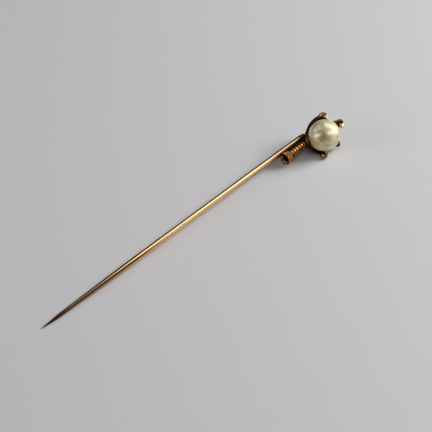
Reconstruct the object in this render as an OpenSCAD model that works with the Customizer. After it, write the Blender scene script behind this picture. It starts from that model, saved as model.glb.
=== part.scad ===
// Stick pin: a gold claw on a ribbed leg grips a pearl, and a long pointed stem is soldered
// to the claw and to the leg's flared cuff. It lies on a flat surface at Z = 0, on the point
// of its stem, the heel of the foot and the knuckle of the hind toe. The stem runs along +X
// towards the head. Millimetres and degrees.

/* [Pearl] */
// Diameter of the pearl
pearl_d = 5; // [4.9:0.05:5.1]
// Height of the pearl's centre above the surface
pearl_h = 2.9; // [2.8:0.05:3]
// Distance of the pearl's centre from the middle of the pin's length
pearl_x = 25.9; // [25:0.1:27]
// Sideways place of the pearl's centre, away from the stem
pearl_y = -0.45; // [-0.7:0.05:-0.2]
// Clearance between the pearl and the metal that holds it
pearl_gap = 0.03; // [0.02:0.01:0.08]

/* [Stem] */
// Length of the stem from its point to the foot
stem_l = 54; // [50:0.5:60]
// Diameter of the stem
stem_d = 0.95; // [0.9:0.05:1]
// Diameter of the stem's upper end, which it thins to beside the leg
neck_d = 0.9; // [0.86:0.02:0.94]
// Length over which it thins
neck_l = 6.5; // [6.3:0.1:7]
// Length over which the stem tapers, point included
taper_l = 17; // [12:0.5:20]
// Length of the sharp point at the end of the taper
point_l = 4; // [3:0.5:5]
// Diameter where the taper meets the sharp point
point_d = 0.58; // [0.5:0.02:0.6]
// Diameter of the very tip
tip_d = 0.1; // [0.06:0.02:0.16]
// Height of the tip's centre above the surface
tip_h = 0.15; // [0.15:0.01:0.2]
// Height of the stem's centre at its upper end
stem_h = 2.05; // [1.9:0.05:2.1]
// Sideways distance from the pearl's centre to the stem's
stem_side = 2.76; // [2.75:0.01:2.85]
// Distance from the pearl's centre back to the stem's upper end
stem_back = 1.52; // [1.4:0.02:1.6]

/* [Leg] */
// Diameter of the leg over its ribs
leg_d = 1.25; // [1.15:0.05:1.3]
// Depth of the grooves between the ribs
rib_depth = 0.09; // [0.05:0.01:0.12]
// Number of ribs
rib_count = 5; // [3:1:5]
// Distance from one rib to the next
rib_pitch = 0.58; // [0.5:0.02:0.6]
// Height of the leg's centre above the surface
leg_h = 1.25; // [1.2:0.05:1.3]
// Sideways distance from the pearl's centre to the leg's
leg_side = 1.84; // [1.8:0.01:1.86]
// Distance from the pearl's centre back to the cuff's rim
cuff_back = 6.95; // [6.8:0.05:7.2]
// Diameter of the cuff's rim
cuff_d = 2.14; // [2.1:0.02:2.2]
// Diameter of the hollow at the rim
hollow_d = 1.05; // [0.9:0.05:1.2]
// Depth of the hollow
hollow_l = 0.9; // [0.6:0.1:1.1]
// Distance from the front of one of the cuff's rings to the next
ring_pitch = 0.4; // [0.36:0.02:0.44]
// How much smaller each ring's diameter is than the one in front
ring_step = 0.1; // [0.08:0.02:0.14]

/* [Foot] */
// Diameter of the palm, which the toes grow from
palm_d = 2.3; // [2.2:0.05:2.4]
// Distance from the pearl's centre to the palm's
palm_reach = 2.3; // [2.25:0.05:2.4]
// Diameter of the ankle, where the leg meets the foot
ankle_d = 1.36; // [1.3:0.02:1.4]
// Distance from the pearl's centre back to the ankle's
ankle_back = 2.3; // [2.2:0.05:2.4]
// Diameter of the heel, which rests on the surface
heel_d = 1.3; // [1.2:0.05:1.4]
// Distance from the pearl's centre back to the heel's
heel_back = 2; // [1.9:0.05:2.1]
// Sideways distance from the pearl's centre to the heel's
heel_side = 2.7; // [2.6:0.05:2.8]

/* [Toes] */
// Diameter of a toe between its knuckles
toe_d = 0.5; // [0.46:0.02:0.54]
// Distance from the pearl's centre to the middle of a toe
toe_reach = 2.83; // [2.81:0.01:2.85]
// Diameter of the knuckle at a toe's root
root_d = 0.8; // [0.76:0.02:0.84]
// Diameter of the knuckles along a toe
knuckle_d = 0.64; // [0.6:0.02:0.68]
// Diameter of a talon's tip
talon_tip_d = 0.2; // [0.16:0.02:0.24]

/* [Hidden] */
$fn = 64;

// The foot stands on the pearl along this direction, tilted from +Z and then turned about it
foot_tilt = 117;
foot_turn = 139;

// How far round the pearl each toe's root lies from the palm's middle
root_turn = 26;

// Share of a pitch that a rib or a ring fills
ridge_share = 0.7;
rib_w = ridge_share * rib_pitch;
ring_w = ridge_share * ring_pitch;
ring_count = 3;

// How much wider the cuff's neck ends than the leg's core
neck_step = 0.06;
// Diameter of the hollow at its bottom, as a share of that at the rim
hollow_narrowing = 0.6;
// How far the hollow's cut starts outside the rim
cut_over = 0.01;

// Diameters of the last bone of a toe, as shares of the toe's and of the last knuckle's
shin_start = 1.16;
shin_end = 0.84;
// Diameter of a talon at its root, as a share of the last knuckle's, and on the two sides of its bend
talon_root = 0.72;
talon_bend_d = 0.44;
talon_end_d = 0.42;
// Where a talon bends, as a share of the way to its tip, and how far it bows out from the pearl there
bend_share = 0.55;
bend_bow = 0.12;
// Diameter of the ball on a talon's tip, as a share of the tip's
tip_ball = 1.1;

// A place on a toe is [roll, turn, reach]: how far round the foot's direction it lies, how far
// round the pearl from the palm's middle, and its distance from the pearl's centre.
// One row a toe: its roll, the turns of its knuckles, the place and the diameter of its last
// knuckle, and the place of its talon's tip
ROLL = 0;
KNUCKLES = 1;
LAST = 2;
LAST_D = 3;
TIP = 4;
hind_roll = 44;
hind_turn = 67;
hind_d = 1;
// The hind toe's last knuckle rests on the surface
hind_drop = sin(hind_turn) * cos(hind_roll) * sin(foot_tilt) - cos(hind_turn) * cos(foot_tilt);
hind_reach = (pearl_h - hind_d / 2) / hind_drop;
TOES = [
    [-117, [50, 80], [-127, 108, 3.05], 1.1, [-131, 121, 2.62]],      // outer, over the top
    [-72, [60, 96, 126], [-74, 145, 3.42], 1, [-52, 156, 2.84]],      // middle, round the back
    [-28, [54, 84], [0, 104, 2.87], 0.66, [9, 124, 2.64]],            // inner, under the back
    [28, [46], [hind_roll, hind_turn, hind_reach], hind_d, [46, 80, 2.68]],    // hind, under the front
];

stem_pitch = asin((stem_h - tip_h) / stem_l);
seat_d = pearl_d + 2 * pearl_gap;
core_d = leg_d - 2 * rib_depth;
leg_l = cuff_back - ankle_back;

function toe_place(p) = p[2] * [sin(p[1]) * cos(p[0]), sin(p[1]) * sin(p[0]), cos(p[1])];

// Places its children in the pearl's own frame
module at_pearl() {
    translate([pearl_x, pearl_y, pearl_h]) children();
}

// Turns +Z to the direction in which the foot stands on the pearl
module along_foot() {
    rotate([0, foot_tilt, foot_turn]) children();
}

// A tapering rod between two points
module rod(from, to, from_d, to_d) {
    run = to - from;
    translate(from)
        rotate([0, acos(run.z / norm(run)), atan2(run.y, run.x)])
            cylinder(h = norm(run), d1 = from_d, d2 = to_d);
}

// A bent rod that follows the pearl from a toe's root to the given turn
module bent_rod(roll, turn) {
    rotate([90, 0, roll])
        rotate([0, 0, 90 - turn])
            rotate_extrude(angle = turn - root_turn)
                translate([toe_reach, 0])
                    circle(d = toe_d);
}

module knuckle(place, size) {
    translate(toe_place(place)) sphere(d = size);
}

// The toe proper, its knuckles and its talon, which curves in to the pearl
module toe(row) {
    bones = row[KNUCKLES];
    end_turn = bones[len(bones) - 1];
    last = toe_place(row[LAST]);
    tip = toe_place(row[TIP]);
    outward = (last + tip) / norm(last + tip);
    bend = (1 - bend_share) * last + bend_share * tip + bend_bow * outward;
    knuckle([row[ROLL], root_turn, toe_reach], root_d);
    bent_rod(row[ROLL], end_turn);
    for (turn = bones)
        knuckle([row[ROLL], turn, toe_reach], knuckle_d);
    rod(toe_place([row[ROLL], end_turn, toe_reach]), last, shin_start * toe_d, shin_end * row[LAST_D]);
    knuckle(row[LAST], row[LAST_D]);
    rod(last, bend, talon_root * row[LAST_D], talon_bend_d);
    rod(bend, tip, talon_end_d, talon_tip_d);
    translate(tip) sphere(d = tip_ball * talon_tip_d);
}

module toes() {
    along_foot()
        for (row = TOES)
            toe(row);
}

module foot() {
    along_foot() translate([0, 0, palm_reach]) sphere(d = palm_d);
    translate([-ankle_back, leg_side, leg_h - pearl_h]) sphere(d = ankle_d);
    translate([-heel_back, heel_side, heel_d / 2 - pearl_h]) sphere(d = heel_d);
}

// The cuff's stepped rings, and behind them its neck, which narrows to the leg
module cuff() {
    rings_l = (ring_count - 1) * ring_pitch;
    inner_d = cuff_d - ring_count * ring_step;
    for (i = [0 : ring_count - 1])
        translate([0, 0, i * ring_pitch])
            cylinder(h = ring_w, d = cuff_d - i * ring_step);
    cylinder(h = rings_l, d = inner_d);
    translate([0, 0, rings_l])
        cylinder(h = rings_l, d1 = inner_d, d2 = core_d + neck_step);
}

module ribs() {
    ribs_start = 2 * (ring_count - 1) * ring_pitch;
    for (i = [0 : rib_count - 1])
        translate([0, 0, ribs_start + i * rib_pitch])
            cylinder(h = rib_w, d = leg_d);
}

module leg() {
    translate([-cuff_back, leg_side, leg_h - pearl_h])
        rotate([0, 90, 0])
            difference() {
                union() {
                    cylinder(h = leg_l, d = core_d);
                    cuff();
                    ribs();
                }
                translate([0, 0, -cut_over])
                    cylinder(h = hollow_l, d1 = hollow_d, d2 = hollow_narrowing * hollow_d);
            }
}

module stem() {
    translate([-stem_back, stem_side, stem_h - pearl_h])
        rotate([0, -90 - stem_pitch, 0]) {
            cylinder(h = neck_l, d1 = neck_d, d2 = stem_d);
            translate([0, 0, neck_l])
                cylinder(h = stem_l - taper_l - neck_l, d = stem_d);
            translate([0, 0, stem_l - taper_l])
                cylinder(h = taper_l - point_l, d1 = stem_d, d2 = point_d);
            translate([0, 0, stem_l - point_l])
                cylinder(h = point_l, d1 = point_d, d2 = tip_d);
        }
}

module claw_pin() {
    color("goldenrod")
        at_pearl()
            difference() {
                union() {
                    stem();
                    leg();
                    foot();
                    toes();
                }
                sphere(d = seat_d);
            }
}

module pearl() {
    color("ivory") at_pearl() sphere(d = pearl_d);
}

claw_pin();
pearl();
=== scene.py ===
from math import acos, asin, atan2, cos, pi, radians, sin, tau
import bmesh
import bpy
from mathutils import Matrix, Vector
from mathutils.bvhtree import BVHTree


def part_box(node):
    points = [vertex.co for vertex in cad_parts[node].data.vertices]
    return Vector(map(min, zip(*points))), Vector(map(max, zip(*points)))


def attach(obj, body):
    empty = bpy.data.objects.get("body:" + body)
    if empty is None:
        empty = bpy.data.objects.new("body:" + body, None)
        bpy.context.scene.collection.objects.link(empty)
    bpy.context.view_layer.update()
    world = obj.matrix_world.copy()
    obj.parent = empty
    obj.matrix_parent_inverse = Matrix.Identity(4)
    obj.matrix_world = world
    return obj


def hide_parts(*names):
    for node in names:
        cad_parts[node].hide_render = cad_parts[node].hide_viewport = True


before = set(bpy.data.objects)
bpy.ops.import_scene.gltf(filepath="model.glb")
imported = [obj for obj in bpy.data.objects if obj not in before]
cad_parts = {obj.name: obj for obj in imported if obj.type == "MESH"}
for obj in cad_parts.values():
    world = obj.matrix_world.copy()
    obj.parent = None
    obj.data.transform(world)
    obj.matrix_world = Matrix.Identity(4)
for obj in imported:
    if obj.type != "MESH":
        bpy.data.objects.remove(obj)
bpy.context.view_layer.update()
mm = 0.001

# the pearl's middle and radius, in millimetres; the other places are counted from its middle
low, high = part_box("pearl")
pearlAt = (low + high) / 2 / mm
pearlRadius = (high.x - low.x) / 2 / mm


# camera


camera = {
    "lens": 134.17,
    "sensorWidth": 36,
    "clipStart": 0.01,
    "distance": 250,
    "azimuth": 45,
    "elevation": 45,
    "frameSize": 432,
    "pearlPixel": (324.3, 135.2),
}


def makeCamera():
    turn, rise = radians(camera["azimuth"]), radians(camera["elevation"])
    away = Vector((sin(turn), cos(turn), 0))
    right = Vector((cos(turn), -sin(turn), 0))
    ahead = away * cos(rise) - Vector((0, 0, sin(rise)))
    up = right.cross(ahead)
    pixels = camera["frameSize"] * camera["lens"] / camera["sensorWidth"]
    middle = camera["frameSize"] / 2
    across = (camera["pearlPixel"][0] - middle) / pixels
    down = (camera["pearlPixel"][1] - middle) / pixels
    data = bpy.data.cameras.new("camera")
    data.lens = camera["lens"]
    data.sensor_width = camera["sensorWidth"]
    data.clip_start = camera["clipStart"]
    eye = bpy.data.objects.new("camera", data)
    eye.location = (pearlAt - camera["distance"] * (ahead + across * right - down * up)) * mm
    eye.rotation_euler = (radians(90 - camera["elevation"]), 0, -turn)
    bpy.context.scene.collection.objects.link(eye)
    bpy.context.scene.camera = eye


# floor and light


studio = {
    "floorSize": 3.0,
    "floorSegments": 4,
    "floorColour": (0.86, 0.85, 0.87),
    "floorRoughness": 0.7,
    "floorDrop": 0.00002,
    "roomDim": 0.035,
    "roomBright": 0.25,
    "roomBrightFrom": (0.5, -0.86, 0.1),
    "roomBrightSpan": (0.85, 0.98),
}

# each panel's middle is right of and behind the pin's middle, as the camera sees it, then above it;
# it hangs level, turned by "turn", or faces the pin with its long side along "along";
# a "fill" panel lights surfaces and isn't mirrored in them, a "shine" panel is only mirrored
panels = {
    "overhead": {
        "at": (290, 243, 350),
        "size": (560, 367),
        "turn": 0,
        "radiance": 2.4,
        "seen": "shine",
    },
    "key": {
        "at": (350, 130, 225),
        "size": (200, 150),
        "along": (-0.35, 0.94, 0),
        "radiance": 13.8,
        "seen": "fill",
    },
    "top": {
        "at": (110, -60, 410),
        "size": (300, 300),
        "turn": 0,
        "radiance": 0.9,
        "seen": "fill",
    },
    "dimmer": {
        "at": (-380, -110, 200),
        "size": (220, 180),
        "along": (0, 1, 0),
        "radiance": 2.4,
        "seen": "fill",
    },
    "glow": {
        "at": (398, 139, 134),
        "size": (340, 260),
        "along": (-0.33, 0.94, 0),
        "radiance": 3.7,
        "seen": "shine",
    },
    "right": {
        "at": (265, -160, 305),
        "size": (270, 170),
        "along": (0.87, 0.44, -0.23),
        "radiance": 3.2,
        "seen": "shine",
    },
    "strip": {
        "at": (-390, -180, 172),
        "size": (540, 150),
        "along": (0.72, -0.3, 0.6),
        "radiance": 4.2,
        "seen": "shine",
    },
    "sheen": {
        "at": (400, -70, 210),
        "size": (240, 230),
        "along": (0, 1, 0),
        "radiance": 0.9,
        "seen": "shine",
    },
    "left": {
        "at": (-337, 115, 270),
        "size": (400, 380),
        "along": (1, 0, 0),
        "radiance": 1.5,
        "seen": "shine",
    },
}


def makeFloor():
    bm = bmesh.new()
    segments = studio["floorSegments"]
    bmesh.ops.create_grid(bm, x_segments=segments, y_segments=segments, size=studio["floorSize"] / 2)
    bmesh.ops.translate(bm, verts=bm.verts, vec=(0, 0, -studio["floorDrop"]))
    floor = addObject(bm, "floor")
    material = bpy.data.materials.new("floor")
    material.use_nodes = True
    shader = material.node_tree.nodes["Principled BSDF"]
    shader.inputs["Base Color"].default_value = (*studio["floorColour"], 1)
    shader.inputs["Roughness"].default_value = studio["floorRoughness"]
    floor.data.materials.append(material)


def addObject(bm, name):
    mesh = bpy.data.meshes.new(name)
    bm.to_mesh(mesh)
    bm.free()
    made = bpy.data.objects.new(name, mesh)
    bpy.context.scene.collection.objects.link(made)
    return made


# turns a direction given as right, behind and above into the pin's own frame
def fromView(direction):
    turn = radians(camera["azimuth"])
    right, behind, above = direction
    x = right * cos(turn) + behind * sin(turn)
    y = behind * cos(turn) - right * sin(turn)
    return Vector((x, y, above))


def makePanel(name, panel):
    at = fromView(panel["at"])
    data = bpy.data.lights.new(name, "AREA")
    data.shape = "RECTANGLE"
    data.size, data.size_y = (side * mm for side in panel["size"])
    data.energy = panel["radiance"] * pi * data.size * data.size_y
    light = bpy.data.objects.new(name, data)
    light.location = at * mm
    if "turn" in panel:
        light.rotation_euler = (0, 0, radians(panel["turn"] - camera["azimuth"]))
    else:
        z = at.normalized()
        along = fromView(panel["along"])
        x = (along - along.dot(z) * z).normalized()
        light.rotation_euler = Matrix((x, z.cross(x), z)).transposed().to_euler()
    light.visible_diffuse = panel["seen"] != "shine"
    light.visible_glossy = panel["seen"] != "fill"
    bpy.context.scene.collection.objects.link(light)


# the room beyond the panels is dim, and brighter low on the near right
def makeRoom():
    world = bpy.data.worlds.new("room")
    bpy.context.scene.world = world
    world.use_nodes = True
    nodes, links = world.node_tree.nodes, world.node_tree.links
    background = nodes["Background"]
    place = nodes.new("ShaderNodeTexCoord")
    dot = nodes.new("ShaderNodeVectorMath")
    dot.operation = "DOT_PRODUCT"
    dot.inputs[1].default_value = Vector(studio["roomBrightFrom"]).normalized()
    ramp = nodes.new("ShaderNodeMapRange")
    start, end = studio["roomBrightSpan"]
    ramp.inputs["From Min"].default_value = start
    ramp.inputs["From Max"].default_value = end
    ramp.inputs["To Min"].default_value = studio["roomDim"]
    ramp.inputs["To Max"].default_value = studio["roomBright"]
    links.new(place.outputs["Generated"], dot.inputs[0])
    links.new(dot.outputs["Value"], ramp.inputs["Value"])
    links.new(ramp.outputs["Result"], background.inputs["Color"])
    bpy.context.scene.view_settings.view_transform = "Standard"


# shapes that several pieces use


# places a unit circle across a path, its x axis turned outwards
def ringAt(at, along, outward, radius, flatness=1):
    z = along.normalized()
    x = (outward - outward.dot(z) * z).normalized()
    y = z.cross(x)
    turned = Matrix((x * radius, y * radius * flatness, z)).transposed().to_4x4()
    return Matrix.Translation(at) @ turned


# carries a circle from ring to ring in an empty mesh; each point remembers how far along it lies
def sweep(bm, rings, sides, lengths):
    far = bm.verts.layers.float.new("far")
    verts = bmesh.ops.create_circle(bm, radius=1, segments=sides, matrix=rings[0])["verts"]
    edges = bm.edges[:]
    for v in verts:
        v[far] = lengths[0]
    for before, after, length in zip(rings, rings[1:], lengths[1:]):
        grown = bmesh.ops.extrude_edge_only(bm, edges=edges)["geom"]
        verts = [g for g in grown if isinstance(g, bmesh.types.BMVert)]
        fresh = set(verts)
        edges = [g for g in grown if isinstance(g, bmesh.types.BMEdge)]
        edges = [edge for edge in edges if fresh.issuperset(edge.verts)]
        bmesh.ops.transform(bm, matrix=after @ before.inverted(), verts=verts)
        for v in verts:
            v[far] = length
    bmesh.ops.holes_fill(bm, edges=bm.edges, sides=0)
    bmesh.ops.recalc_face_normals(bm, faces=bm.faces)
    bm.normal_update()
    return far


# a smooth run of places and radii through the given ones
def smoothRun(spots, steps):
    padded = [spots[0], *spots, spots[-1]]
    run = []
    for i in range(1, len(padded) - 2):
        a, b, c, d = padded[i - 1:i + 3]
        for step in range(steps):
            t = step / steps
            weights = (
                -t + 2 * t**2 - t**3,
                2 - 5 * t**2 + 3 * t**3,
                t + 4 * t**2 - 3 * t**3,
                t**3 - t**2,
            )
            at = sum((w / 2 * p[0] for w, p in zip(weights, (a, b, c, d))), Vector())
            size = sum(w / 2 * p[1] for w, p in zip(weights, (a, b, c, d)))
            run.append((at, size))
    return run + [spots[-1]]


# sweeps a circle along a run that follows the pearl; flatness is its width over its thickness
def sweepRun(bm, run, sides, flatness):
    rings, lengths, length = [], [], 0
    for i, (at, radius) in enumerate(run):
        along = run[min(i + 1, len(run) - 1)][0] - run[max(i - 1, 0)][0]
        rings.append(ringAt(at, along, at - pearlAt, radius, flatness))
        length += (at - run[max(i - 1, 0)][0]).length
        lengths.append(length)
    return sweep(bm, rings, sides, lengths)


def addPiece(bm, name, material, slot):
    bmesh.ops.scale(bm, vec=(mm, mm, mm), verts=bm.verts)
    piece = addObject(bm, name)
    for face in piece.data.polygons:
        face.use_smooth = True
    piece.data.materials.append(material)
    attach(piece, "root")
    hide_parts("claw_pin" if slot == "gold" else "pearl")
    return piece


# the foot stands on the pearl tilted from upright and then turned about the upright
claw = {"tilt": 117, "turn": 139}
clawTilt = Matrix.Rotation(radians(claw["tilt"]), 3, "Y")
clawTurn = Matrix.Rotation(radians(claw["turn"]), 3, "Z") @ clawTilt


# a place on the claw: its roll round the foot, its turn round the pearl, its reach from the middle
def spot(roll, turn, reach):
    roll, turn = radians(roll), radians(turn)
    way = Vector((sin(turn) * cos(roll), sin(turn) * sin(roll), cos(turn)))
    return pearlAt + clawTurn @ way * reach


# keeps a point of the metal clear of the pearl
def clearOfPearl(at, gap):
    out = at - pearlAt
    return pearlAt + out * max(1, (pearlRadius + gap) / out.length)


# goes smoothly from 0 at the start to 1 at the end, which may be the lower one
def fade(value, start, end):
    t = min(max((value - start) / (end - start), 0), 1)
    return t * t * (3 - 2 * t)


# finishes


# the detail and the middle value of the mottle's noise
tarnishAndShadeLook = {"detail": 4, "middle": 0.5}


# recesses hold tarnish and painted shade: adds a mottle to what is stored on the points
def makeTarnishAndShadeGroup():
    group = bpy.data.node_groups.new("tarnishAndShadeMask", "ShaderNodeTree")
    for name in ("Amount", "Mottle", "Mottle Scale"):
        group.interface.new_socket(name, in_out="INPUT", socket_type="NodeSocketFloat")
    group.interface.new_socket("Mask", in_out="OUTPUT", socket_type="NodeSocketFloat")
    nodes, links = group.nodes, group.links
    given, result = nodes.new("NodeGroupInput"), nodes.new("NodeGroupOutput")
    stored = nodes.new("ShaderNodeAttribute")
    stored.attribute_name = "recess"
    place = nodes.new("ShaderNodeTexCoord")
    noise = nodes.new("ShaderNodeTexNoise")
    noise.inputs["Detail"].default_value = tarnishAndShadeLook["detail"]
    centred = nodes.new("ShaderNodeMath")
    centred.operation = "SUBTRACT"
    centred.inputs[1].default_value = tarnishAndShadeLook["middle"]
    mottle = nodes.new("ShaderNodeMath")
    mottle.operation = "MULTIPLY"
    deepened = nodes.new("ShaderNodeMath")
    deepened.operation = "MULTIPLY_ADD"
    deepened.use_clamp = True
    links.new(place.outputs["Object"], noise.inputs["Vector"])
    links.new(given.outputs["Mottle Scale"], noise.inputs["Scale"])
    links.new(noise.outputs["Fac"], centred.inputs[0])
    links.new(centred.outputs["Value"], mottle.inputs[0])
    links.new(given.outputs["Mottle"], mottle.inputs[1])
    links.new(stored.outputs["Fac"], deepened.inputs[0])
    links.new(given.outputs["Amount"], deepened.inputs[1])
    links.new(mottle.outputs["Value"], deepened.inputs[2])
    links.new(deepened.outputs["Value"], result.inputs["Mask"])
    return group


wearLook = {
    "scratchScale": (300, 9000, 9000),
    "scratchDetail": 3,
    "dentScale": 2500,
    "dentDetail": 2,
    "strength": 0.5,    # of the bump that both make
    "distance": 0.00002,
}


# fine scratches along the wire and small dents, as a height
def makeWearGroup():
    group = bpy.data.node_groups.new("wear", "ShaderNodeTree")
    group.interface.new_socket("Scratch", in_out="INPUT", socket_type="NodeSocketFloat")
    group.interface.new_socket("Dent", in_out="INPUT", socket_type="NodeSocketFloat")
    group.interface.new_socket("Height", in_out="OUTPUT", socket_type="NodeSocketFloat")
    nodes, links = group.nodes, group.links
    given, result = nodes.new("NodeGroupInput"), nodes.new("NodeGroupOutput")
    place = nodes.new("ShaderNodeTexCoord")
    stretch = nodes.new("ShaderNodeMapping")
    stretch.inputs["Scale"].default_value = wearLook["scratchScale"]
    scratch = nodes.new("ShaderNodeTexNoise")
    scratch.inputs["Scale"].default_value = 1
    scratch.inputs["Detail"].default_value = wearLook["scratchDetail"]
    dent = nodes.new("ShaderNodeTexNoise")
    dent.inputs["Scale"].default_value = wearLook["dentScale"]
    dent.inputs["Detail"].default_value = wearLook["dentDetail"]
    scratches = nodes.new("ShaderNodeMath")
    scratches.operation = "MULTIPLY"
    total = nodes.new("ShaderNodeMath")
    total.operation = "MULTIPLY_ADD"
    links.new(place.outputs["Object"], stretch.inputs["Vector"])
    links.new(stretch.outputs["Vector"], scratch.inputs["Vector"])
    links.new(place.outputs["Object"], dent.inputs["Vector"])
    links.new(scratch.outputs["Fac"], scratches.inputs[0])
    links.new(given.outputs["Scratch"], scratches.inputs[1])
    links.new(dent.outputs["Fac"], total.inputs[0])
    links.new(given.outputs["Dent"], total.inputs[1])
    links.new(scratches.outputs["Value"], total.inputs[2])
    links.new(total.outputs["Value"], result.inputs["Height"])
    return group


tarnishAndShadeGroup = makeTarnishAndShadeGroup()
wearGroup = makeWearGroup()


# places a group in a material; an underscore in a value's name stands for a space
def useGroup(material, group, **values):
    node = material.node_tree.nodes.new("ShaderNodeGroup")
    node.node_tree = group
    for name, value in values.items():
        node.inputs[name.replace("_", " ")].default_value = value
    return node


def mixColours(material, factor, clean, dark):
    mix = material.node_tree.nodes.new("ShaderNodeMix")
    mix.data_type = "RGBA"
    mix.inputs["A"].default_value = (*clean, 1)
    mix.inputs["B"].default_value = (*dark, 1)
    material.node_tree.links.new(factor, mix.inputs["Factor"])
    return mix.outputs["Result"]


def spread(material, value, low, high):
    node = material.node_tree.nodes.new("ShaderNodeMapRange")
    node.inputs["To Min"].default_value = low
    node.inputs["To Max"].default_value = high
    material.node_tree.links.new(value, node.inputs["Value"])
    return node.outputs["Result"]


# "recess" is how much tarnish and painted shade the recesses hold; roughness is that of clean
# and of dark metal
goldLooks = {
    "wireGold": {
        "clean": (0.75, 0.48, 0.23),
        "dark": (0.05, 0.02, 0.007),
        "roughness": (0.1, 0.45),
        "recess": 1.1,
        "mottle": 0.12,
        "mottleScale": 900,
        "coat": 0.8,
        "scratch": 0.08,
        "dent": 0.04,
    },
    "legGold": {
        "clean": (0.62, 0.27, 0.085),
        "dark": (0.045, 0.011, 0.001),
        "roughness": (0.18, 0.45),
        "recess": 1.5,
        "mottle": 0.5,
        "mottleScale": 1800,
        "scratch": 0.1,
        "dent": 0.8,
    },
    "clawGold": {
        "clean": (0.68, 0.39, 0.135),
        "dark": (0.022, 0.008, 0.003),
        "roughness": (0.2, 0.4),
        "recess": 1.8,
        "mottle": 0.7,
        "mottleScale": 1600,
        "scratch": 0.1,
        "dent": 0.8,
    },
    "talonGold": {
        "clean": (0.86, 0.60, 0.29),
        "dark": (0.05, 0.02, 0.007),
        "roughness": (0.15, 0.4),
        "recess": 1.0,
        "mottle": 0.3,
        "mottleScale": 1600,
        "scratch": 0.1,
        "dent": 0.4,
    },
}


def makeGold(name, look):
    material = bpy.data.materials.new(name)
    material.use_nodes = True
    nodes, links = material.node_tree.nodes, material.node_tree.links
    shader = nodes["Principled BSDF"]
    tarnishAndShadeMask = useGroup(material, tarnishAndShadeGroup, Amount=look["recess"], Mottle=look["mottle"],
                       Mottle_Scale=look["mottleScale"])
    mask = tarnishAndShadeMask.outputs["Mask"]
    links.new(mixColours(material, mask, look["clean"], look["dark"]), shader.inputs["Base Color"])
    links.new(spread(material, mask, *look["roughness"]), shader.inputs["Roughness"])
    shader.inputs["Metallic"].default_value = 1
    if "coat" in look:
        links.new(spread(material, mask, look["coat"], 0), shader.inputs["Coat Weight"])
    shader.inputs["Coat Roughness"].default_value = look["roughness"][0]
    wear = useGroup(material, wearGroup, Scratch=look["scratch"], Dent=look["dent"])
    bump = nodes.new("ShaderNodeBump")
    bump.inputs["Strength"].default_value = wearLook["strength"]
    bump.inputs["Distance"].default_value = wearLook["distance"]
    links.new(wear.outputs["Height"], bump.inputs["Height"])
    links.new(bump.outputs["Normal"], shader.inputs["Normal"])
    return material


golds = {name: makeGold(name, look) for name, look in goldLooks.items()}


nacreLook = {
    "warm": (0.90, 0.74, 0.37),
    "pale": (0.97, 0.86, 0.52),
    "cloudScale": 330,    # of the slow change between warm and pale
    "cloudDetail": 2,
    "cloudSpan": (0.4, 0.62),
    "fleckDetail": 3,
    "fleckSpan": (0.42, 0.7),
    "fleckOffset": 0.01,
    "metallic": 0.12,
    "milkiness": 0.6,
    "milkReach": (1, 0.9, 0.7),    # how far red, green and blue light travel under its surface
    "milkDepth": 0.002,
    "roughness": 0.27,
    "coat": 0.7,
    "coatRoughness": 0.15,
    "bumpScale": 1000,
    "bumpDetail": 2,
    "bumpOffset": 0.03,
    "bumpStrength": 0.25,
    "bumpDistance": 0.00004,
    # each cloud of colour, some of them painted reflections and painted shade: its direction from
    # the middle of the pearl, how far it spreads in radii, its colour and the scale of its flecks;
    # it is full over the middle share of its spread
    "zoneMiddle": 0.2,
    "zones": [
        ((-0.375, 0.091, 0.921), 1.0, (0.55, 0.52, 0.23), 3200),    # green, upper left
        ((-0.62, 0.32, 0.72), 0.6, (0.58, 0.47, 0.38), 2400),    # mauve, beside it
        ((-0.80, -0.36, 0.48), 0.85, (0.28, 0.16, 0.05), 1300),    # painted dark reflection, brown, left of the middle
        ((-0.70, -0.42, 0.56), 0.4, (0.34, 0.23, 0.10), 400),    # more of the painted dark reflection, nearer the middle
        ((-0.55, -0.62, 0.50), 0.5, (0.68, 0.50, 0.28), 500),    # the paler edge of the painted dark reflection, below the middle
        ((-0.721, -0.693, 0.01), 0.75, (0.64, 0.56, 0.20), 3200),    # green, near the bottom
        ((-0.2, -0.9, 0.1), 0.7, (0.72, 0.58, 0.44), 800),    # rose, lower right
        ((0.255, -0.805, 0.53), 0.9, (0.90, 0.83, 0.77), 500),    # pale rose on the right, lightened into a painted highlight
        ((0.146, -0.986, 0.085), 0.95, (0.50, 0.40, 0.28), 600),    # painted shade, fawn, at the lower right edge
        ((-0.88, 0.13, 0.45), 0.45, (0.98, 0.92, 0.80), 250),    # painted reflection, pale, at the left edge
    ],
}


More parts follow.
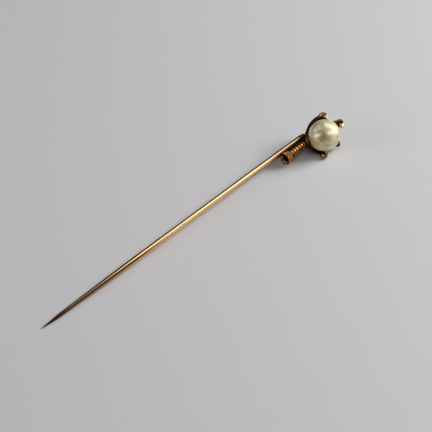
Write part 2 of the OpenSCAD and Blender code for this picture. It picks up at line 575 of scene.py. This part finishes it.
def makeNacre():
    look = nacreLook
    material = bpy.data.materials.new("nacre")
    material.use_nodes = True
    nodes, links = material.node_tree.nodes, material.node_tree.links
    shader = nodes["Principled BSDF"]
    place = nodes.new("ShaderNodeTexCoord")

    # each noise is shifted by its own offset, so that no two look alike
    def noise(scale, detail, offset):
        shift = nodes.new("ShaderNodeMapping")
        shift.inputs["Location"].default_value = (offset, offset, offset)
        made = nodes.new("ShaderNodeTexNoise")
        made.inputs["Scale"].default_value = scale
        made.inputs["Detail"].default_value = detail
        links.new(place.outputs["Object"], shift.inputs["Vector"])
        links.new(shift.outputs["Vector"], made.inputs["Vector"])
        return made.outputs["Fac"]

    def narrowed(value, low, high):
        node = nodes.new("ShaderNodeMapRange")
        node.inputs["From Min"].default_value = low
        node.inputs["From Max"].default_value = high
        links.new(value, node.inputs["Value"])
        return node.outputs["Result"]

    def over(factor, under, colour):
        mix = nodes.new("ShaderNodeMix")
        mix.data_type = "RGBA"
        mix.inputs["B"].default_value = (*colour, 1)
        links.new(under, mix.inputs["A"])
        links.new(factor, mix.inputs["Factor"])
        return mix.outputs["Result"]

    clouds = narrowed(noise(look["cloudScale"], look["cloudDetail"], 0), *look["cloudSpan"])
    colour = mixColours(material, clouds, look["warm"], look["pale"])
    for i, (direction, width, tint, scale) in enumerate(look["zones"]):
        centre = (pearlAt + Vector(direction).normalized() * pearlRadius) * mm
        apart = nodes.new("ShaderNodeVectorMath")
        apart.operation = "DISTANCE"
        apart.inputs[1].default_value = centre
        links.new(place.outputs["Object"], apart.inputs[0])
        rim = width * pearlRadius * mm
        near = narrowed(apart.outputs["Value"], rim, look["zoneMiddle"] * rim)
        grain = noise(scale, look["fleckDetail"], look["fleckOffset"] * (i + 1))
        flecks = narrowed(grain, *look["fleckSpan"])
        both = nodes.new("ShaderNodeMath")
        both.operation = "MULTIPLY"
        links.new(near, both.inputs[0])
        links.new(flecks, both.inputs[1])
        colour = over(both.outputs["Value"], colour, tint)
    links.new(colour, shader.inputs["Base Color"])
    shader.inputs["Metallic"].default_value = look["metallic"]
    shader.inputs["Roughness"].default_value = look["roughness"]
    shader.inputs["Subsurface Weight"].default_value = look["milkiness"]
    shader.inputs["Subsurface Radius"].default_value = look["milkReach"]
    shader.inputs["Subsurface Scale"].default_value = look["milkDepth"]
    shader.inputs["Coat Weight"].default_value = look["coat"]
    shader.inputs["Coat Roughness"].default_value = look["coatRoughness"]
    bump = nodes.new("ShaderNodeBump")
    bump.inputs["Strength"].default_value = look["bumpStrength"]
    bump.inputs["Distance"].default_value = look["bumpDistance"]
    grain = noise(look["bumpScale"], look["bumpDetail"], look["bumpOffset"])
    links.new(grain, bump.inputs["Height"])
    links.new(bump.outputs["Normal"], shader.inputs["Normal"])
    return material


# stem


stemWire = {
    "length": 54,
    "topRadius": 0.45,
    "radius": 0.475,
    "neckLength": 6.5,
    "taperLength": 17,
    "pointLength": 4,
    "pointRadius": 0.29,
    "tipRadius": 0.035,
    "back": 1.52,
    "side": 2.8,
    "topHeight": 2.05,
    "tipHeight": 0.15,
    "endShare": 0.7,    # how thick its upper end starts, and where along it the rounding fades
    "endSpan": (-0.2, 0.9),
    "taperPower": 1.15,    # above 1, the wire stays thick for longer
    "pointPower": 1.4,
    "topRings": [0, 0.05, 0.2, 0.5, 0.8, 1.1, 1.4, 1.8, 3],
    "tipRing": 0.05,
    "ringSteps": (2, 0.5, 0.25),    # between rings on the shaft, the taper and the point
    # tarnish and painted shade all round, and how far along it fades in or out
    "tarnishAndShadeRounds": [
        # darker where it runs in under the foot: tarnish at the joint and painted shade
        (0.75, (2.2, 0.2)),
        # painted shade that dims the highlight near the head
        (0.36, (12, 4)),
        # tarnish and a painted dark reflection towards the point
        (0.6, (32, 47)),
        (0.4, (48, 52)),
    ],
    # painted shade and painted dark reflections on one side: its amount, the angles where it starts, is
    # full, starts to fade and ends, and how far along it fades in or out; angle 0 points away from the
    # pearl and 90 upwards
    "paintedShadeSides": [
        # a painted dark reflection along the upper side, away from the pearl
        (0.9, (25, 50, 78, 100), (0, 1)),
        # painted shade beside the highlight, towards the leg, all along
        (0.42, (112, 130, 142, 158), (0, 1)),
        # painted shade towards the leg and underneath, near the head
        (0.75, (110, 136, 360, 370), (10, 5)),
        (0.4, (128, 155, 360, 370), (19, 10)),
        # a painted dark reflection down the middle towards the point
        (0.85, (108, 128, 140, 160), (21, 36)),
    ],
    "sides": 48,
}


def makeStem():
    wire = stemWire
    slope = asin((wire["topHeight"] - wire["tipHeight"]) / wire["length"])
    along = Vector((-cos(slope), 0, -sin(slope)))
    top = Vector((pearlAt.x - wire["back"], pearlAt.y + wire["side"], wire["topHeight"]))
    taperStart = wire["length"] - wire["taperLength"]
    pointStart = wire["length"] - wire["pointLength"]
    places = [wire["neckLength"], taperStart, pointStart, wire["length"]]
    lengths = wire["topRings"][:]
    for start, end, step in zip(places, places[1:], wire["ringSteps"]):
        lengths += [start + step * i for i in range(round((end - start) / step))]
    lengths += [wire["length"] - wire["tipRing"], wire["length"]]

    def radiusAt(length):
        if length < wire["neckLength"]:
            share = length / wire["neckLength"]
            thick = wire["topRadius"] + (wire["radius"] - wire["topRadius"]) * share
            return thick * (wire["endShare"] + (1 - wire["endShare"]) * fade(length, *wire["endSpan"]))
        if length <= taperStart:
            return wire["radius"]
        if length <= pointStart:
            share = (length - taperStart) / (pointStart - taperStart)
            return wire["radius"] + (wire["pointRadius"] - wire["radius"]) * share ** wire["taperPower"]
        share = (length - pointStart) / wire["pointLength"]
        thin = share ** wire["pointPower"]
        return wire["tipRadius"] + (wire["pointRadius"] - wire["tipRadius"]) * (1 - thin)

    up = Vector((0, 0, 1))
    rings = [ringAt(top + length * along, along, up, radiusAt(length)) for length in lengths]
    bm = bmesh.new()
    far = sweep(bm, rings, wire["sides"], lengths)
    tarnishAndShade = bm.verts.layers.float.new("tarnishAndShade")
    for v in bm.verts:
        outward = v.co - (top + v[far] * along)
        angle = atan2(outward.z, outward.y) * 180 / pi % 360
        v[tarnishAndShade] = sum(amount * fade(v[far], *span) for amount, span in wire["tarnishAndShadeRounds"])
        v[tarnishAndShade] += max(
            amount * fade(angle, start, full) * fade(angle, end, fading) * fade(v[far], *span)
            for amount, (start, full, fading, end), span in wire["paintedShadeSides"])
    print("stem made")
    return addPiece(bm, "stem", golds["wireGold"], "gold")


# leg, with broad scutes along its top and small scales down its sides


legShape = {
    "height": 1.25,
    "side": 1.84,
    "front": -5.45,
    "end": -2.0,
    "coreRadius": 0.49,
    "scuteLength": 0.55,
    "scuteShift": 0.15,
    # the middle of each row round the leg, in degrees from its top towards the stem, its half width,
    # and the height, length and shift of its scales, the last two in scutes
    "rows": [
        (-16, 37, 0.16, 1.0, 0),
        (-74, 17, 0.13, 0.5, 0),
        (-108, 13, 0.1, 0.5, 0),
        (44, 18, 0.14, 0.5, 0.25),
        (80, 15, 0.14, 0.5, 0.25),
    ],
    "rowEdge": (0.72, 1.0),    # where a row's edge falls away, in half widths
    "scaleSpan": (-0.55, 0.35),    # the part of a scale's wave that rises
    "scaleBow": 0.9,    # how much further on a scale lies at its row's edge
    "farSideFill": 0.11,    # the side towards the stem is thicker, and darker with painted shade
    "farSideFillSpan": (20, 45),
    "farSidePaintedShade": 0.1,
    "farSidePaintedShadeSpan": (15, 40),
    "tarnishAndShade": 0.8,
    "tarnishAndShadeBelow": 0.15,    # the height under which the leg darkens, with tarnish and painted shade between the scales
    "sides": 120,
    "step": 0.028,
}


# how high a row of scales stands at a place along the leg
def scaleHeight(angle, place, row):
    middle, halfWidth, height, length, shift = row
    off = abs(angle - middle) / halfWidth
    if off >= 1:
        return 0
    wave = sin(tau * (place / length + shift) + legShape["scaleBow"] * off**2)
    return height * fade(wave, *legShape["scaleSpan"]) * (1 - fade(off, *legShape["rowEdge"]))


def makeLeg():
    leg = legShape
    middle = Vector((pearlAt.x, pearlAt.y + leg["side"], leg["height"]))
    along, up = Vector((1, 0, 0)), Vector((0, 0, 1))
    count = round((leg["end"] - leg["front"]) / leg["step"])
    lengths = [leg["step"] * i for i in range(count + 1)]
    spots = [middle + (leg["front"] + length) * along for length in lengths]
    rings = [ringAt(at, along, up, leg["coreRadius"]) for at in spots]
    bm = bmesh.new()
    far = sweep(bm, rings, leg["sides"], lengths)
    tarnishAndShade = bm.verts.layers.float.new("tarnishAndShade")
    for v in bm.verts:
        outward = Vector((0, v.co.y - middle.y, v.co.z - middle.z)).normalized()
        angle = atan2(outward.y, outward.z) * 180 / pi
        place = v[far] / leg["scuteLength"] + leg["scuteShift"]
        lift = max(scaleHeight(angle, place, row) for row in leg["rows"])
        # darker between the scales: tarnish and painted shade
        v[tarnishAndShade] = leg["tarnishAndShade"] * (1 - lift / leg["tarnishAndShadeBelow"])
        # painted shade on the side towards the stem
        v[tarnishAndShade] += leg["farSidePaintedShade"] * fade(angle, *leg["farSidePaintedShadeSpan"])
        lift += leg["farSideFill"] * fade(angle, *leg["farSideFillSpan"])
        v.co += outward * lift
    print("leg made")
    return addPiece(bm, "leg", golds["legGold"], "gold")


# cuff at the end of the leg


cuffShape = {
    "back": 6.95,
    "rimRadius": 1.06,
    "hollowRadius": 0.72,
    "hollowDepth": 1.0,
    # the hollow from its bottom out, as shares of its depth and radii
    "hollow": [(1, 0), (1, 0.16), (0.9, 0.34), (0.8, 0.42), (0.6, 0.49), (0.4, 0.56), (0.2, 0.63)],
    # the lip from the hollow to the rim: how deep, and how far from the edge of either
    "hollowLip": [(0.08, 0), (0.02, 0.06)],
    "rimLip": [(0, 0.12), (0.02, 0.04)],
    "ringCount": 3,
    "ringPitch": 0.42,
    "ringStep": 0.1,
    # one ring and the groove behind it, as shares of the pitch and of the groove's depth
    "ring": [(0.1, 0.1), (0.3, -0.05), (0.48, 0.1), (0.62, 0.6), (0.76, 1.0), (0.92, 0.7)],
    "grooveDepth": 0.24,
    "endLength": 2.0,
    "endRadius": 0.5,
    "endPower": 1.6,
    "endSteps": 8,
    "weld": 0.0005,
    "notches": 26,
    "notchDepth": 0.012,
    "notchTwist": 2.1,
    "notchShift": 0.6,    # above 0, they are cut deeper than they stand
    "notchSpan": (1.4, 1.0),    # how far behind the rim they end, and are full
    "notchRim": 0.1,    # how far inside the rim the notches are full
    "tarnishAndShade": 0.85,
    "grooveSpan": (0.04, 0.14),    # how low a groove starts to darken with tarnish and painted shade, and is full
    "endDull": 0.425,
    "hollowTarnishAndShade": 0.5,
    "hollowSpan": (0, 0.3),
    "hollowMargin": (0.05, 0.1),    # how far outside and beyond the hollow its tarnish and painted shade reach
    "sides": 104,
}


def makeCuff():
    cuff = cuffShape
    middle = Vector((pearlAt.x - cuff["back"], pearlAt.y + legShape["side"], legShape["height"]))
    profile = [(share * cuff["hollowDepth"], radius) for share, radius in cuff["hollow"]]
    profile += [(deep, cuff["hollowRadius"] + more) for deep, more in cuff["hollowLip"]]
    profile += [(deep, cuff["rimRadius"] - less) for deep, less in cuff["rimLip"]]
    for ring in range(cuff["ringCount"]):
        start = ring * cuff["ringPitch"]
        top = cuff["rimRadius"] - ring * cuff["ringStep"]
        for share, drop in cuff["ring"]:
            profile.append((start + share * cuff["ringPitch"], top - drop * cuff["grooveDepth"]))
    ringsEnd = cuff["ringCount"] * cuff["ringPitch"]
    top = cuff["rimRadius"] - cuff["ringCount"] * cuff["ringStep"]
    for i in range(cuff["endSteps"] + 1):
        share = i / cuff["endSteps"]
        radius = cuff["endRadius"] + (top - cuff["endRadius"]) * (1 - share) ** cuff["endPower"]
        profile.append((ringsEnd + (cuff["endLength"] - ringsEnd) * share, radius))
    profile.append((cuff["endLength"], 0))
    bm = bmesh.new()
    verts = [bm.verts.new(middle + Vector((x, 0, radius))) for x, radius in profile]
    edges = [bm.edges.new(pair) for pair in zip(verts, verts[1:])]
    bmesh.ops.subdivide_edges(bm, edges=edges, cuts=1)
    bmesh.ops.spin(bm, geom=bm.verts[:] + bm.edges[:], cent=middle, axis=(1, 0, 0), angle=tau,
                   steps=cuff["sides"], use_merge=True)
    bmesh.ops.remove_doubles(bm, verts=bm.verts, dist=cuff["weld"])
    bmesh.ops.recalc_face_normals(bm, faces=bm.faces)
    bm.normal_update()
    tarnishAndShade = bm.verts.layers.float.new("tarnishAndShade")
    wider, beyond = cuff["hollowMargin"]
    for v in bm.verts:
        outward = Vector((0, v.co.y - middle.y, v.co.z - middle.z))
        deep = v.co.x - middle.x
        if outward.length < cuff["hollowRadius"] + wider and deep < cuff["hollowDepth"] + beyond:
            # darker deeper in the hollow: tarnish and painted shade
            v[tarnishAndShade] = cuff["hollowTarnishAndShade"] * fade(deep, *cuff["hollowSpan"])
        elif deep < ringsEnd:
            drop = cuff["rimRadius"] - cuff["ringStep"] * deep / cuff["ringPitch"] - outward.length
            # darker down in the grooves between the rings: tarnish and painted shade
            v[tarnishAndShade] = cuff["tarnishAndShade"] * fade(drop, *cuff["grooveSpan"])
        else:
            v[tarnishAndShade] = cuff["endDull"]
        share = fade(outward.length, cuff["hollowRadius"], cuff["rimRadius"] - cuff["notchRim"])
        share *= fade(deep, *cuff["notchSpan"])
        wave = cos(cuff["notches"] * atan2(outward.y, outward.z) + cuff["notchTwist"] * deep)
        v.co += outward.normalized() * cuff["notchDepth"] * share * (wave - cuff["notchShift"])
    print("cuff made")
    return addPiece(bm, "cuff", golds["legGold"], "gold")


# foot: palm, ankle and heel grown together


footShape = {
    "palm": (2.3, 1.15),    # its reach from the pearl's middle and its radius
    "ankle": (-2.3, 1.84, -1.65, 0.66),    # its place and its radius
    "heel": (-2.0, 2.7, -2.25, 0.65),
    # balls that lead into each toe: each has the swell less its turn over the thinning, as a share
    # of the toe's radius
    "rootTurns": (16, 21, 26, 31, 36),
    "rootSwell": 1.1,
    "rootThinning": 120,
    "rootReach": 2.83,
    "subdivisions": 4,
    "voxel": 0.07,
    "smoothRounds": 4,
    "smoothing": 0.5,
    "ridges": 26,
    "ridgeHeight": 0.025,
    "ridgeSpan": (0.2, 0.8),
    "tarnishAndShade": 0.6,
    "ridgeShine": 0.4,
    "gap": 0.03,
}


def ball(bm, at, radius):
    bmesh.ops.create_icosphere(bm, subdivisions=footShape["subdivisions"], radius=radius,
                               matrix=Matrix.Translation(at))


def makeFoot():
    foot = footShape
    bm = bmesh.new()
    ball(bm, spot(0, 0, foot["palm"][0]), foot["palm"][1])
    for key in ("ankle", "heel"):
        x, y, z, radius = foot[key]
        ball(bm, pearlAt + Vector((x, y, z)), radius)
    for toe in toes:
        for turn in foot["rootTurns"]:
            share = foot["rootSwell"] - turn / foot["rootThinning"]
            ball(bm, spot(toe["roll"], turn, foot["rootReach"]), toe["spots"][0][1] * share)
    lump = addObject(bm, "lump")
    grown = lump.modifiers.new("grown", "REMESH")
    grown.mode = "VOXEL"
    grown.voxel_size = foot["voxel"]
    grown.use_smooth_shade = True
    mesh = bpy.data.meshes.new_from_object(lump.evaluated_get(bpy.context.evaluated_depsgraph_get()))
    bpy.data.objects.remove(lump)
    bm = bmesh.new()
    bm.from_mesh(mesh)
    for _ in range(foot["smoothRounds"]):
        bmesh.ops.smooth_vert(bm, verts=bm.verts, factor=foot["smoothing"],
                              use_axis_x=True, use_axis_y=True, use_axis_z=True)
    bmesh.ops.recalc_face_normals(bm, faces=bm.faces)
    tarnishAndShade = bm.verts.layers.float.new("tarnishAndShade")
    bm.normal_update()
    for v in bm.verts:
        across = clawTurn.inverted() @ (v.co - pearlAt)
        ridge = cos(foot["ridges"] * atan2(across.y, across.x))
        v.co += v.normal * foot["ridgeHeight"] * ridge * fade(across.xy.length, *foot["ridgeSpan"])
        v[tarnishAndShade] = foot["tarnishAndShade"] * (1 - foot["ridgeShine"] * ridge)
        v.co = clearOfPearl(v.co, foot["gap"])
    print("foot made")
    return addPiece(bm, "foot", golds["clawGold"], "gold")


# toes and talons


# each spot on a toe is its turn round the pearl and its radius there; the last one has its own
# roll and reach, and so has the talon's tip; "tarnishAndShade" is that of the shaft and of the
# last knuckle: tarnish, with painted shade where a toe lies against or under the pearl
toes = [
    {
        "name": "outer",
        "width": 1.35,
        "roll": -117,
        "spots": [(26, 0.36), (38, 0.29), (50, 0.33), (62, 0.37), (75, 0.44), (87, 0.5), (97, 0.54)],
        "last": (-127, 108, 3.05, 0.54),
        "tip": (-133, 123, 2.62),
        "talonRadius": 0.37,
        "tarnishAndShade": (0.7, 0.38),
    },
    {
        "name": "middle",
        "width": 1.2,
        "roll": -72,
        "spots": [
            (26, 0.36),
            (43, 0.26),
            (60, 0.32),
            (78, 0.25),
            (96, 0.31),
            (111, 0.3),
            (126, 0.5),
            (136, 0.52),
        ],
        "last": (-74, 145, 3.38, 0.48),
        "tip": (-50, 155, 2.9),
        "talonRadius": 0.46,
        "talonStart": -0.1,
        "tarnishAndShade": (0.9, 0.5),
    },
    {
        "name": "inner",
        "width": 1.1,
        "roll": -28,
        "spots": [(26, 0.36), (40, 0.26), (54, 0.31), (69, 0.25), (84, 0.35)],
        "last": (0, 109, 2.9, 0.4),
        "tip": (9, 128, 2.66),
        "talonRadius": 0.2,
        "talonTarnishAndShade": 0.3,
        "tarnishAndShade": (0.9, 0.55),
    },
    {
        "name": "hind",
        "width": 1.1,
        "roll": 28,
        "spots": [(26, 0.32), (36, 0.3), (46, 0.35), (56, 0.38)],
        "last": (44, 67, 3.128, 0.49),
        "tip": (46, 82, 2.68),
        "talonRadius": 0.25,
        # painted shadow under the pearl, over the tarnish, makes the hind toe nearly black
        "tarnishAndShade": (0.95, 0.45),
    },
]

toeLook = {
    "reach": 2.83,
    "noseLength": 0.7,    # how far a toe goes on past its last spot, in radii
    "nose": [(0.75, 0.8), (1, 0.3)],    # shares of that way, and of the radius
    "scuteLength": 0.3,
    "scuteHeight": 0.07,
    "scutePower": 0.7,    # below 1, a scute is flatter on top
    "scuteShift": 0.6,
    "scuteSpan": (0.15, 0.6),    # how far a surface faces outwards where scutes start, and are full
    "scuteShine": 0.35,
    "ridges": 7,
    "ridgeHeight": 0.02,
    "ridgeSpan": (0.8, 0.6),    # where along the toe the ridges fade
    "tarnishAndShadeSpan": (0.5, 0.9),    # where along the toe the knuckle's tarnish and painted shade take over
    "sides": 42,
    "steps": 12,
    "gap": 0.03,
}

talonLook = {
    "start": 0.15,
    # shares of the way to the tip, of the bow and of the radius
    "spots": [(0.42, 0.8, 0.92), (0.72, 0.7, 0.66), (0.92, 0.25, 0.42)],
    "bow": 0.2,
    "tipRadius": 0.07,
    "flatness": 0.85,
    "sides": 22,
    "steps": 7,
    "gap": 0.02,
}


def makeToe(toe):
    look = toeLook
    spots = [(spot(toe["roll"], turn, look["reach"]), radius) for turn, radius in toe["spots"]]
    roll, turn, reach, radius = toe["last"]
    last = spot(roll, turn, reach)
    spots += [(last, radius)]
    nose = last + (spot(*toe["tip"]) - last).normalized() * radius * look["noseLength"]
    spots += [(last.lerp(nose, share), radius * thick) for share, thick in look["nose"]]
    bm = bmesh.new()
    far = sweepRun(bm, smoothRun(spots, look["steps"]), look["sides"], toe["width"])
    tarnishAndShade = bm.verts.layers.float.new("tarnishAndShade")
    shaft, knuckle = toe["tarnishAndShade"]
    length = max(v[far] for v in bm.verts)
    for v in bm.verts:
        share = v[far] / length
        facing = min(1, max(-1, v.normal.dot((v.co - pearlAt).normalized())))
        wave = abs(sin(pi * v[far] / look["scuteLength"])) ** look["scutePower"] - look["scuteShift"]
        v.co += v.normal * look["scuteHeight"] * wave * fade(facing, *look["scuteSpan"])
        ridge = cos(look["ridges"] * acos(facing)) * fade(share, *look["ridgeSpan"])
        v.co += v.normal * look["ridgeHeight"] * ridge
        v[tarnishAndShade] = shaft + (knuckle - shaft) * fade(share, *look["tarnishAndShadeSpan"]) - look["scuteShine"] * wave
        v.co = clearOfPearl(v.co, look["gap"])
        v.co.z = max(v.co.z, 0)    # and above the surface it lies on
    print("toe made:", toe["name"])
    return addPiece(bm, "toe_" + toe["name"], golds["clawGold"], "gold")


def makeTalon(toe):
    look = talonLook
    roll, turn, reach, _ = toe["last"]
    last = spot(roll, turn, reach)
    tip = spot(*toe["tip"])
    bow = (last - pearlAt).normalized() * look["bow"]
    spots = [(last.lerp(tip, toe.get("talonStart", look["start"])), toe["talonRadius"])]
    for way, out, thick in look["spots"]:
        spots.append((last.lerp(tip, way) + bow * out, toe["talonRadius"] * thick))
    spots.append((tip, look["tipRadius"]))
    bm = bmesh.new()
    sweepRun(bm, smoothRun(spots, look["steps"]), look["sides"], look["flatness"])
    tarnishAndShade = bm.verts.layers.float.new("tarnishAndShade")
    for v in bm.verts:
        v[tarnishAndShade] = toe.get("talonTarnishAndShade", 0)
        v.co = clearOfPearl(v.co, look["gap"])
    print("talon made:", toe["name"])
    return addPiece(bm, "talon_" + toe["name"], golds["talonGold"], "gold")


# pearl


# it is a little longer one way, and its surface ripples by a share of its radius
pearlShape = {
    "longWay": (0.854, -0.146, 0.5),
    "stretch": 0.025,
    "stretchMiddle": 0.5,
    "ripple": 0.0036,
    "waves": (5, 4, 6),
    "shifts": (1, 0, 2),
    "subdivisions": 6,
}


def makePearl():
    shape = pearlShape
    bm = bmesh.new()
    bmesh.ops.create_icosphere(bm, subdivisions=shape["subdivisions"], radius=pearlRadius)
    longWay = Vector(shape["longWay"]).normalized()
    for v in bm.verts:
        n = v.co.normalized()
        share = n.dot(longWay) ** 2
        x, y, z = (wave * way + shift for wave, way, shift in zip(shape["waves"], n, shape["shifts"]))
        ripple = sin(x) * sin(y) * cos(z)
        v.co *= 1 + shape["stretch"] * (share - shape["stretchMiddle"]) + shape["ripple"] * ripple
        v.co += pearlAt
    print("pearl made")
    return addPiece(bm, "pearl_bead", makeNacre(), "pearl")


# where tarnish gathers and painted shade falls: how closed in each point of the metal is, also by
# the pearl and the other parts, plus its own stored tarnish and painted shade


recessLook = {
    "rays": 24,
    "reach": 1.1,
    "lift": 0.01,
    "gain": 2,
}


# rays spread evenly over the upper half of a sphere
def hemisphere(count):
    golden = pi * (3 - 5**0.5)
    rays = []
    for i in range(count):
        height = (i + 0.5) / count
        width = (1 - height * height) ** 0.5
        rays.append(Vector((width * cos(golden * i), width * sin(golden * i), height)))
    return rays


def storeRecesses(pieces):
    verts, faces = [], []
    for piece in pieces:
        start = len(verts)
        verts += [v.co / mm for v in piece.data.vertices]
        faces += [[start + i for i in face.vertices] for face in piece.data.polygons]
    tree = BVHTree.FromPolygons(verts, faces)
    look = recessLook
    rays = hemisphere(look["rays"])
    for piece in pieces:
        if piece.name == "pearl_bead":
            continue
        tarnishAndShade = piece.data.attributes["tarnishAndShade"]
        values = []
        for v, extra in zip(piece.data.vertices, tarnishAndShade.data):
            turn = v.normal.to_track_quat("Z", "Y")
            start = v.co / mm + v.normal * look["lift"]
            closed = 0
            for ray in rays:
                distance = tree.ray_cast(start, turn @ ray, look["reach"])[3]
                if distance is not None:
                    closed += (1 - distance / look["reach"]) * ray.z
            values.append(look["gain"] * closed / len(rays) + extra.value)
        stored = piece.data.attributes.new("recess", "FLOAT", "POINT")
        stored.data.foreach_set("value", values)
    print("recesses stored")


makeCamera()
makeFloor()
makeRoom()
for panelName, panel in panels.items():
    makePanel(panelName, panel)
print("studio made")
made = [makeStem(), makeLeg(), makeCuff(), makeFoot()]
for toe in toes:
    made += [makeToe(toe), makeTalon(toe)]
made.append(makePearl())
storeRecesses(made)
